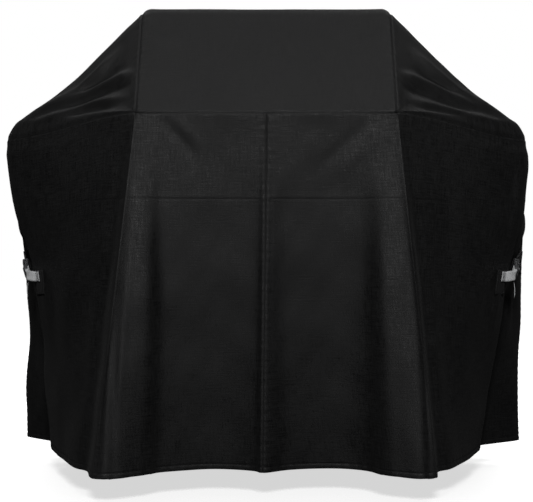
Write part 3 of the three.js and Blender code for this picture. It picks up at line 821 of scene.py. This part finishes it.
def shoulder_panel(word, side):
    shares = spaced(PROFILE, GRID, []) / PROFILE
    reaches = spaced(SHOULDER_REACH, GRID, [0, SHOULDER_REACH]) / SHOULDER_REACH
    share, reach = np.meshgrid(shares[::-1] if side > 0 else shares, reaches)
    base = shoulder_base(side, share, reach)
    width = np.linalg.norm(base[-1] - base[0], axis=-1)
    from_hood, from_waist = reach * width, (1 - reach) * width
    step = 2e-3
    inside = np.clip(share, 2 * step, 1 - 2 * step)
    along = shoulder_base(side, inside + step, reach) - shoulder_base(side, inside - step, reach)
    out = shoulder_base(side, inside, reach + step) - shoulder_base(side, inside, reach - step)
    normal = unit(np.cross(along, out)) * -side
    x, h = base[..., 0], base[..., 2] - HEM
    folds = sum(fold.height(x, h) for fold in shoulder_folds)
    folds = folds * clear_of(from_hood, 12 * MM) * clear_of(from_waist, 30 * MM)
    uneven = unevenness(base) * clear_of(from_hood, 50 * MM) * clear_of(from_waist, 50 * MM)
    relief = folds + uneven + seam_rise(np.minimum(from_hood, from_waist), share * PROFILE)
    relief = relief * smoothstep(width, 0, 30 * MM)
    points = base + normal * relief[..., None]
    uv = stack(share * PROFILE, from_hood)
    mesh = grid_mesh(f"cloth_shoulder_{word}", points, uv, 2e-5)
    piece = piece_from(mesh, cloth_black, "cover", "cover_cloth", f"shoulder_{word}")
    thicken(piece, CLOTH)
    declare_sheet(PROFILE, SHOULDER_REACH, base)
    return Panel(points, share * PROFILE, from_hood)


shoulders = {word: shoulder_panel(word, side) for word, side in (("left", -1), ("right", 1))}


# ---- Tape inside the seams, and the turned hem ----
def strip_uv(points, far, width):
    """Places on a flat strip: along it, and across it over its four rows."""
    same = 0 * points[..., 0]
    return stack(far[None, :] + same, np.linspace(0, width, 4)[:, None] + same)


def strip_inside(name, node, parts, depth, from_last, stand, slot, material):
    """A strip that lies behind the panels' rows from one depth to another."""
    rows = []
    for inward in np.linspace(depth[0], depth[1], 4):
        lines = [panel.along_row(inward, from_last) for panel in parts]
        spots = np.vstack([line[0][4:-4] for line in lines])
        outs = np.vstack([line[1][4:-4] for line in lines])
        rows.append(spots - outs * stand)
    points = np.array(rows if not from_last else rows[::-1])
    far = distance_along(points[0])
    uv = strip_uv(points, far, depth[1] - depth[0])
    piece = piece_from(grid_mesh(name, points, uv), material, "cover", slot, node)
    thicken(piece, 0.6 * MM)
    declare_sheet(float(far[-1]), depth[1] - depth[0], points)


for word, parts in (
    ("left", ["skirt_front_left", "skirt_side_left", "skirt_back_left"]),
    ("right", ["skirt_back_right", "skirt_side_right", "skirt_front_right"]),
):
    panels = [skirt_panels[part] for part in parts]
    tape_depth = (3 * MM, 3 * MM + TAPE_WIDTH)
    strip_inside(f"tape_waist_{word}", f"waist_tape_{word}", panels, tape_depth, False, 2.6 * MM,
                 "seam_tape", tape_black)
    hem_depth = (0.4 * MM, HEM_WIDTH)
    strip_inside(f"hem_turned_{word}", f"hem_fold_{word}", panels, hem_depth, True, 1.3 * MM,
                 "cover_cloth", cloth_black)

for word, side in (("left", -1), ("right", 1)):
    spots, _ = hood.along_column(4 * MM, side > 0)
    spots = spots[8:-8]
    forward = unit(np.gradient(spots, axis=0))
    inward = unit(stack(0 * forward[:, 0], forward[:, 2], -forward[:, 1]))
    rows = [spots + inward * (3 * MM + share * TAPE_WIDTH) for share in np.linspace(0, 1, 4)]
    points = np.array(rows)
    far = distance_along(spots)
    uv = strip_uv(points, far, TAPE_WIDTH)
    mesh = grid_mesh(f"tape_hood_{word}", points, uv)
    piece = piece_from(mesh, tape_black, "cover", "seam_tape", f"hood_seam_tape_{word}")
    thicken(piece, 0.9 * MM, 0.0)
    declare_sheet(float(far[-1]), TAPE_WIDTH, points)


# ---- Stitching ----
STITCH = 3.4 * MM
STITCH_GAP = 0.9 * MM
SEAM_STITCH = 4.2 * MM  # from a seam to its row of stitches


def stitch_spots(spots, outs, length=STITCH, gap=STITCH_GAP):
    """Middle, direction and outward normal of each stitch along a line."""
    far = distance_along(spots)
    count = max(1, int(far[-1] / (length + gap)))
    marks = (np.arange(count) + 0.5) * far[-1] / count
    middle = np.stack([np.interp(marks, far, spots[:, i]) for i in range(3)], -1)
    ahead = np.stack([np.interp(marks + 1 * MM, far, spots[:, i]) for i in range(3)], -1)
    behind = np.stack([np.interp(marks - 1 * MM, far, spots[:, i]) for i in range(3)], -1)
    out = np.stack([np.interp(marks, far, outs[:, i]) for i in range(3)], -1)
    return middle + unit(out) * 0.12 * MM, unit(ahead - behind), unit(out)


def stitch_tree():
    """Lays one stitch on each vertex, turned by its along and out directions."""
    tree = bpy.data.node_groups.new("stitching", "GeometryNodeTree")
    interface = tree.interface
    interface.new_socket("Geometry", in_out="INPUT", socket_type="NodeSocketGeometry")
    sockets = {}
    kinds = {"Length": "NodeSocketFloat", "Width": "NodeSocketFloat", "Thread": "NodeSocketMaterial"}
    for name, kind in kinds.items():
        sockets[name] = interface.new_socket(name, in_out="INPUT", socket_type=kind).identifier
    interface.new_socket("Geometry", in_out="OUTPUT", socket_type="NodeSocketGeometry")
    nodes, link = tree.nodes, tree.links.new
    given = nodes.new("NodeGroupInput")
    result = nodes.new("NodeGroupOutput")
    bead = nodes.new("GeometryNodeMeshIcoSphere")
    bead.inputs["Radius"].default_value = 0.5
    bead.inputs["Subdivisions"].default_value = 1
    directions = {}
    for name in ("along", "out"):
        read = nodes.new("GeometryNodeInputNamedAttribute")
        read.data_type = "FLOAT_VECTOR"
        read.inputs["Name"].default_value = name
        directions[name] = read.outputs["Attribute"]
    turn = nodes.new("FunctionNodeAxesToRotation")
    turn.primary_axis, turn.secondary_axis = "X", "Z"
    link(directions["along"], turn.inputs["Primary Axis"])
    link(directions["out"], turn.inputs["Secondary Axis"])
    size = nodes.new("ShaderNodeCombineXYZ")
    link(given.outputs["Length"], size.inputs["X"])
    link(given.outputs["Width"], size.inputs["Y"])
    link(given.outputs["Width"], size.inputs["Z"])
    place = nodes.new("GeometryNodeInstanceOnPoints")
    link(given.outputs["Geometry"], place.inputs["Points"])
    link(bead.outputs["Mesh"], place.inputs["Instance"])
    link(turn.outputs["Rotation"], place.inputs["Rotation"])
    link(size.outputs["Vector"], place.inputs["Scale"])
    real = nodes.new("GeometryNodeRealizeInstances")
    link(place.outputs["Instances"], real.inputs["Geometry"])
    paint = nodes.new("GeometryNodeSetMaterial")
    link(real.outputs["Geometry"], paint.inputs["Geometry"])
    link(given.outputs["Thread"], paint.inputs["Material"])
    link(paint.outputs["Geometry"], result.inputs["Geometry"])
    return tree, sockets


stitching_tree, stitching_sockets = stitch_tree()


def sew(name, rows, material, width=0.55 * MM, length=STITCH, body="cover"):
    """Makes all the stitches of some rows one mesh."""
    laid = [stitch_spots(*row, length) for row in rows]
    middles, alongs, outs = (np.vstack(values) for values in zip(*laid))
    mesh = bpy.data.meshes.new(name)
    mesh.from_pydata(middles.tolist(), [], [])
    for attribute, values in (("along", alongs), ("out", outs)):
        mesh.attributes.new(attribute, "FLOAT_VECTOR", "POINT").data.foreach_set("vector", values.ravel())
    dots = bpy.data.objects.new(name + "_dots", mesh)
    bpy.context.scene.collection.objects.link(dots)
    modifier = dots.modifiers.new("stitching", "NODES")
    modifier.node_group = stitching_tree
    modifier[stitching_sockets["Length"]] = length
    modifier[stitching_sockets["Width"]] = width
    modifier[stitching_sockets["Thread"]] = material
    graph = bpy.context.evaluated_depsgraph_get()
    made = bpy.data.meshes.new_from_object(dots.evaluated_get(graph))
    made.name = name
    bpy.data.objects.remove(dots)
    made.polygons.foreach_set("use_smooth", [True] * len(made.polygons))
    piece = bpy.data.objects.new(name, made)
    bpy.context.scene.collection.objects.link(piece)
    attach(piece, body)
    return piece


skirt_list = list(skirt_panels.values())
sew("stitches_waist", [panel.along_row(SEAM_STITCH) for panel in skirt_list]
    + [hood.along_row(SEAM_STITCH), hood.along_row(SEAM_STITCH, True)], thread_black)
sew("stitches_hem", [panel.along_row(HEM_STITCH, True) for panel in skirt_list], thread_black)
sew("stitches_hood_sides", [hood.along_column(SEAM_STITCH), hood.along_column(SEAM_STITCH, True)],
    thread_black)
sew("stitches_centre_front", [
    skirt_panels["skirt_front_right"].along_column(2.4 * MM, True),
    skirt_panels["skirt_front_right"].along_column(14 * MM, True)], thread_black)
sew("stitches_shoulders", [
    panel.along_row(SEAM_STITCH, last) for panel in shoulders.values() for last in (False, True)],
    thread_black)
sew("stitches_upright_seams", [
    skirt_panels[name].along_column(SEAM_STITCH, last)
    for name, last in (("skirt_back_left", True), ("skirt_back_right", False), ("skirt_back_left", False),
                       ("skirt_back_right", True), ("skirt_side_left", True), ("skirt_side_right", False))],
    thread_black)


# ---- Strap patches, webbing and buckles ----
PATCH_WIDTH = 38 * MM
PATCH_ABOVE = 16 * MM
PATCH_BELOW = 48 * MM
PATCH_STAND = 2.2 * MM
SEWN = 16 * MM
PLUG_LENGTH = 28 * MM
SOCKET_LENGTH = 32 * MM
TAIL_LENGTH = 44 * MM
anchors = {"front": (-36 * MM, 455 * MM), "rear": (150 * MM, 508 * MM)}  # behind the side fold, and height


def strap_spot(side, distance, height):
    """The cloth and its outward direction a distance behind the side fold, at a height above the hem."""
    start = LEFT_FOLD if side < 0 else RIGHT_FOLD
    way = -side * (1 if distance > 0 else -1)
    drop = 1 - height / DROP
    places = start + way * np.arange(0, 5, 0.01)
    line = skirt_base(places, np.full_like(places, drop))
    far = distance_along(line)
    place = np.interp(abs(distance), far, places)
    step = 0.02
    spot = skirt_base(place, drop)
    along = skirt_base(place + step, drop) - skirt_base(place - step, drop)
    down = skirt_base(place, drop + step) - skirt_base(place, drop - step)
    return spot, unit(np.cross(along, down)), float(place), drop


def relieved(side, distance, height):
    """Like strap_spot, but on the cloth as its folds leave it."""
    spot, out, place, drop = strap_spot(side, distance, height)
    lift = skirt_relief(spot[None, None, :], np.array([[place]]), np.array([[0.2]]), np.array([[drop]]))
    return spot + out * max(float(lift[0, 0]), 0.0), out


def patch(word, side, place):
    back, height = anchors[place]
    downs = np.linspace(-PATCH_BELOW, PATCH_ABOVE, 14 if FINE else 8)[::-1]
    acrosses = np.linspace(-0.5, 0.5, 10 if FINE else 6) * PATCH_WIDTH * (1 if side < 0 else -1)
    grid, outs = [], []
    for down in downs:
        row = [relieved(side, back + across, height + down) for across in acrosses]
        grid.append([spot for spot, _ in row])
        outs.append([out for _, out in row])
    grid, outs = np.array(grid), np.array(outs)
    across, down = np.meshgrid(acrosses, downs)
    rim = np.minimum(PATCH_WIDTH / 2 - np.abs(across), np.minimum(PATCH_ABOVE - down, down + PATCH_BELOW))
    stand = PATCH_STAND * (0.35 + 0.65 * smoothstep(rim, 0, 4 * MM))
    points = grid + outs * stand[..., None]
    name = f"patch_{place}_{word}"
    mesh = grid_mesh(name, points, stack(across, down))
    piece = piece_from(mesh, patch_black, "cover", "strap_patch", f"strap_patch_{place}_{word}")
    thicken(piece, 0.9 * MM, 1.0)
    declare_sheet(PATCH_WIDTH, PATCH_ABOVE + PATCH_BELOW, points)
    made = Panel(points + outs * 0.9 * MM, np.abs(across - across[:, :1]), PATCH_ABOVE - down)
    lines = [made.along_row(2.5 * MM), made.along_row(2.5 * MM, True)]
    return lines + [made.along_column(2.5 * MM, last) for last in (False, True)]


joints = {joint["child"]: joint for joint in frame["joints"]}


class Buckle:
    """Where one buckle sits: a runs back along the strap, v up across it and n away from the cover."""

    def __init__(self, word, side):
        upper, lower = (np.array(joints[f"{part}_arm_{word}"]["pos_m"]) for part in ("upper", "lower"))
        self.v = unit(upper - lower)
        self.a = -unit(np.array(joints[f"plug_{word}"]["axis"]))
        self.n = np.cross(self.a, self.v)
        self.n = self.n * np.sign(self.n[0] * side)
        self.origin = (upper + lower) / 2 - self.a * 1.4 * MM

    def at(self, a, v, n):
        return self.origin + (self.a * a + self.v * v + self.n * n) * MM


def smooth_curve(points, count):
    line = centripetal(np.array(points), 40)
    far = distance_along(line)
    marks = np.linspace(0, far[-1], count)
    return np.stack([np.interp(marks, far, line[:, i]) for i in range(3)], -1), marks


def webbing_mesh(name, line, ups, far, narrow=None):
    """Webbing along a line; ups give its width direction, and narrow its share of full width."""
    tangent = unit(np.gradient(line, axis=0))
    ups = unit(ups - (ups * tangent).sum(-1, keepdims=True) * tangent)
    narrow = np.ones(len(far)) if narrow is None else narrow
    shares = np.linspace(-0.5, 0.5, 7)[:, None, None]
    points = line + ups * narrow[:, None] * WEBBING * shares
    widths = shares[..., 0] * WEBBING * narrow
    return grid_mesh(name, points, stack(widths, far[None, :] + 0 * widths)), points


def lay_webbing(name, line, ups, far, material, slot, body, *nodes, narrow=None):
    mesh, points = webbing_mesh(name, line, ups, far, narrow)
    piece = piece_from(mesh, material, body, slot, *nodes)
    thicken(piece, WEBBING_THICK, 0.0)
    declare_sheet(WEBBING, float(far[-1]), points)
    return piece


def sewn_box(line, ups, out, far):
    """The box with crossed diagonals that holds a webbing's end down."""
    corners = []
    for along, across in ((2, -9.5), (14, -9.5), (14, 9.5), (2, 9.5)):
        spot = np.array([np.interp(along * MM, far, line[:, i]) for i in range(3)])
        corners.append(spot + ups[0] * across * MM + out * (WEBBING_THICK / 2 + 0.1 * MM))
    pairs = [(0, 1), (1, 2), (2, 3), (3, 0), (0, 2), (1, 3)]
    return [(np.array([corners[i], corners[j]]), np.array([out, out])) for i, j in pairs]


def moulded(node, body, width=0.7 * MM):
    """A welded copy of a moulded part, with its edges rounded."""
    work = bmesh.new()
    work.from_mesh(frame["nodes"][node].data)
    bmesh.ops.remove_doubles(work, verts=work.verts, dist=1e-6)
    bmesh.ops.dissolve_limit(work, angle_limit=math.radians(2), verts=work.verts, edges=work.edges)
    sharp = [edge for edge in work.edges if edge.is_manifold and edge.calc_face_angle() > math.radians(30)]
    bmesh.ops.bevel(work, geom=sharp, offset=width, segments=2, affect="EDGES",
                    clamp_overlap=True, profile=0.6)
    bmesh.ops.recalc_face_normals(work, faces=work.faces)
    for edge in work.edges:
        edge.smooth = not edge.is_manifold or edge.calc_face_angle() < math.radians(38)
    for face in work.faces:
        face.smooth = True
    mesh = bpy.data.meshes.new(f"moulded_{node}")
    work.to_mesh(mesh)
    work.free()
    piece_from(mesh, buckle_grey, body, "buckle_plastic", node)


def strap_set(word, side):
    buckle = Buckle(word, side)
    plug = f"plug_{word}"
    patch_rows, box_rows = [], []
    for place in ("front", "rear"):
        patch_rows += patch(word, side, place)

    # The grey webbing, sewn to the front patch, runs up to the plug.
    lift = PATCH_STAND + 2.3 * MM
    runs = {
        "front": (-1, -PLUG_LENGTH / MM, webbing_grey, "grey_webbing"),
        "rear": (1, SOCKET_LENGTH / MM + 0.8, webbing_black, "black_webbing"),
    }
    for place, (way, end, material, slot) in runs.items():
        back, height = anchors[place]
        nearer = 6 * MM if place == "front" else 0
        sewn = []
        for beyond in (way * SEWN / 2, -way * SEWN / 2):
            spot, out = relieved(side, back + nearer + beyond, height)
            sewn.append(spot + out * lift)
        line, far = smooth_curve([*sewn, buckle.at(end + way * 7, 0, 0), buckle.at(end, 0, 0)], 22)
        low, _ = relieved(side, back, height - 10 * MM)
        high, _ = relieved(side, back, height + 10 * MM)
        turned = smoothstep(far / far[-1], 0.2, 1)[:, None]
        ups = unit(high - low) * (1 - turned) + buckle.v * turned
        node = f"webbing_{place}_{word}"
        if place == "rear":
            lay_webbing(f"strip_{place}_{word}", line, ups, far, material, slot, "cover", node)
        else:
            mesh, points = webbing_mesh(f"strip_{place}_{word}", line, ups, far)
            piece = bpy.data.objects.new(mesh.name, mesh)
            bpy.context.scene.collection.objects.link(piece)
            mesh.materials.append(material)
            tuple(line[np.searchsorted(far, SEWN)])
            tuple(line[-2])
            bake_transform(piece)
            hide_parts(node)
            thicken(piece, WEBBING_THICK, 0.0)
            declare_sheet(WEBBING, float(far[-1]), points)
        box_rows += sewn_box(line, ups, out, far)

    # Its loop weaves through the plug's two slots, and the black one wraps the socket's bar.
    woven_through = [(-28.5, 0, 0), (-29.6, 0, -3), (-27.5, 0, -6.2), (-24.4, 0, -5), (-22.5, 0, 0),
                     (-20.6, 0, 5.4), (-18, 0, 6.3), (-15.4, 0, 5.4), (-13.5, 0, 0), (-12.8, 0, -6.4),
                     (-7, 0, -6.4)]
    line, far = smooth_curve([buckle.at(*spot) for spot in woven_through], 56)
    lay_webbing(f"loop_front_{word}", line, buckle.v + 0 * line, far, webbing_grey, "grey_webbing", plug)
    wrapped = [(37, 0, 1.2), (34.5, 0, 5), (30.5, 0, 7.1), (27.2, 0, 4), (27.1, 0, -4),
               (30.5, 0, -7.1), (35, 0, -4.4), (37, 0, -1.2)]
    line, far = smooth_curve([buckle.at(*spot) for spot in wrapped], 48)
    lay_webbing(f"loop_rear_{word}", line, buckle.v + 0 * line, far, webbing_black, "black_webbing", "cover")

    # The loose end turns down behind the plug and hangs.
    hinge = joints[f"tail_{word}"]
    top, wide = np.array(hinge["pos_m"]), np.array(hinge["axis"])
    wide = wide * np.sign(wide[1])
    down = np.array([0, 0, -1.0])
    neck = [buckle.at(-14, -3, -6.8), buckle.at(-14, -12, -6.6), top - down * 7 * MM, top - down * 1.7 * MM]
    line, far = smooth_curve(neck, 16)
    lay_webbing(f"neck_{word}", line, wide + 0 * line, far, webbing_grey, "grey_webbing", plug)
    far = np.linspace(0, TAIL_LENGTH, 30)
    out = np.cross(wide, down)
    out = out * np.sign(out[0] * side)
    curl = 2.2 * MM * np.sin(np.pi * far / TAIL_LENGTH) + 1.5 * MM * (far / TAIL_LENGTH) ** 2
    line = top + down * far[:, None] + out * curl[:, None]
    end = np.clip((far - TAIL_LENGTH + 10 * MM) / (10 * MM), 0, 1)
    narrow = np.maximum(np.sqrt(1 - (0.96 * end) ** 2), 0.2)
    lay_webbing(f"tail_end_{word}", line, wide + 0 * line, far, webbing_grey, "grey_webbing", f"tail_{word}",
                f"strap_tail_{word}", narrow=narrow)

    sew(f"stitches_patch_{word}", patch_rows, thread_black, 0.6 * MM, 2.6 * MM)
    sew(f"stitches_box_{word}", box_rows, thread_grey, 0.9 * MM, 2.4 * MM)
    moulded(f"buckle_plug_{word}", plug)
    moulded(f"buckle_socket_{word}", "cover")
    for part in ("upper", "lower"):
        moulded(f"buckle_arm_{part}_{word}", f"{part}_arm_{word}", 0.4 * MM)


for word, side in (("left", -1), ("right", 1)):
    strap_set(word, side)


# ---- Camera, light and floor ----
CAMERA_AWAY = 2.5
CAMERA_HEIGHT = 0.484  # above the hem
CAMERA_SHIFT = 0.0075


def camera():
    data = bpy.data.cameras.new("camera")
    data.sensor_width = 36
    data.lens = 75
    data.shift_y = CAMERA_SHIFT
    data.clip_end = 80
    made = bpy.data.objects.new("camera", data)
    made.location = (0, FRONT - CAMERA_AWAY, HEM + CAMERA_HEIGHT)
    made.rotation_euler = (math.radians(90), 0, 0)
    bpy.context.scene.collection.objects.link(made)
    bpy.context.scene.camera = made


def softbox(name, place, target, size, power):
    data = bpy.data.lights.new(name, "AREA")
    data.shape = "RECTANGLE"
    data.size, data.size_y = size
    data.energy = power
    made = bpy.data.objects.new(name, data)
    made.location = place
    made.rotation_euler = (Vector(target) - Vector(place)).to_track_quat("-Z", "Y").to_euler()
    bpy.context.scene.collection.objects.link(made)


def staged(name, mesh, **finish):
    """A part of the studio, which throws no light of its own back on the cover."""
    made = bpy.data.objects.new(name, mesh)
    bpy.context.scene.collection.objects.link(made)
    paint = Paint(name, **finish)
    mesh.materials.append(paint.material)
    made.visible_diffuse = False
    made.visible_glossy = False
    return made, paint


def dome_mesh():
    """A pale sphere far round the studio, seen from its inside."""
    mesh = bpy.data.meshes.new("dome")
    work = bmesh.new()
    bmesh.ops.create_uvsphere(work, u_segments=32, v_segments=16, radius=28)
    bmesh.ops.reverse_faces(work, faces=work.faces)
    work.to_mesh(mesh)
    work.free()
    return mesh


def studio():
    size = 20
    white = (1, 1, 1, 1)
    mesh = bpy.data.meshes.new("floor")
    corners = [(-size, -size), (size, -size), (size, size), (-size, size)]
    mesh.from_pydata([(x, y, FLOOR) for x, y in corners], [], [(0, 1, 2, 3)])
    _, paint = staged("floor", mesh, Base_Color=(0.8, 0.8, 0.8, 1), Roughness=0.9, Specular_IOR_Level=0.1,
                      Emission_Strength=1.0)
    # The floor glows white far off, and its glow is dimmed to grey within a metre of the middle: a painted
    # soft shadow round and under the cover.
    middle = (0, 0, FLOOR)
    far = paint.node("ShaderNodeVectorMath", {"operation": "DISTANCE"}, [paint.place(), middle], "Value")
    paint.to("Emission Color", paint.mix(far.between(0.45, 1.0), (0.66, 0.66, 0.66), (1, 1, 1)))
    dome, _ = staged("dome", dome_mesh(), Base_Color=(0, 0, 0, 1), Roughness=1.0, Specular_IOR_Level=0.0,
                     Emission_Color=white, Emission_Strength=1.0)
    dome.visible_shadow = False
    world = bpy.data.worlds.new("studio")
    world.use_nodes = True
    world.node_tree.nodes["Background"].inputs["Color"].default_value = white
    world.node_tree.nodes["Background"].inputs["Strength"].default_value = 0.022
    bpy.context.scene.world = world
    bpy.context.scene.view_settings.view_transform = "Standard"
    softbox("front", (0, -3.6, 1.45), (0, 0, -0.35), (0.9, 0.8), 92)
    for side in (-1, 1):
        softbox("ceiling", (1.7 * side, 0.9, 3.5), (0.2 * side, 0, -0.1), (1.4, 1.4), 30)
    softbox("rear", (0, 4.2, 1.6), (0, 0, -0.4), (3.0, 1.0), 70)


camera()
studio()
